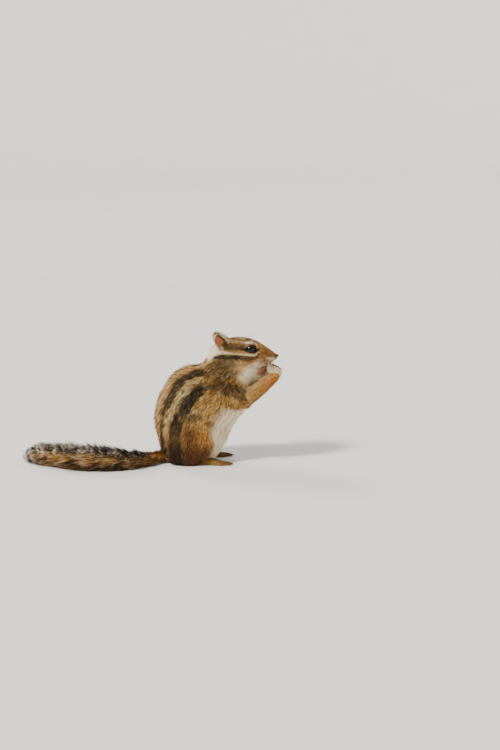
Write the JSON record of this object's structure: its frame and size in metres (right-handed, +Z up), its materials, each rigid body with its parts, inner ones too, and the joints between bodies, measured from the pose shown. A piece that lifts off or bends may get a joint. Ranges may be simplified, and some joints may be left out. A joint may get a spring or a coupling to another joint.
{
  "type": "chipmunk",
  "caption": "Life-size striped chipmunk sitting up on its haunches with its forepaws raised to its mouth and its bushy tail laid out behind on the floor.",
  "frame": {"origin": "middle of the footprint of the whole animal, on the floor that it sits on", "axes": "+Z up; the animal faces +X with its tail towards -X; its right side is -Y"},
  "size_m": [0.1876, 0.0698, 0.0977],
  "materials": {
    "coat": "short dense fur with dark and pale stripes",
    "tail_hair": "long bushy hair, dark with pale tips",
    "ear_skin": "thin skin with very short hair",
    "paw": "skin with short pale hair and dark claws",
    "eye": "wet gloss"
  },
  "bodies": {
    "root": {"head": "coat", "neck": "coat", "torso": "coat", "upper_foreleg_right": "coat", "upper_foreleg_left": "coat", "forearm_right": "coat", "forearm_left": "coat", "haunch_right": "coat", "haunch_left": "coat", "forepaw_right": "paw", "forepaw_left": "paw", "hind_foot_right": "paw", "hind_foot_left": "paw", "ear_right": "ear_skin", "ear_left": "ear_skin", "eye_right": "eye", "eye_left": "eye", "tail_1": "tail_hair", "tail_2": "tail_hair", "tail_3": "tail_hair", "tail_4": "tail_hair"}
  },
  "joints": []
}
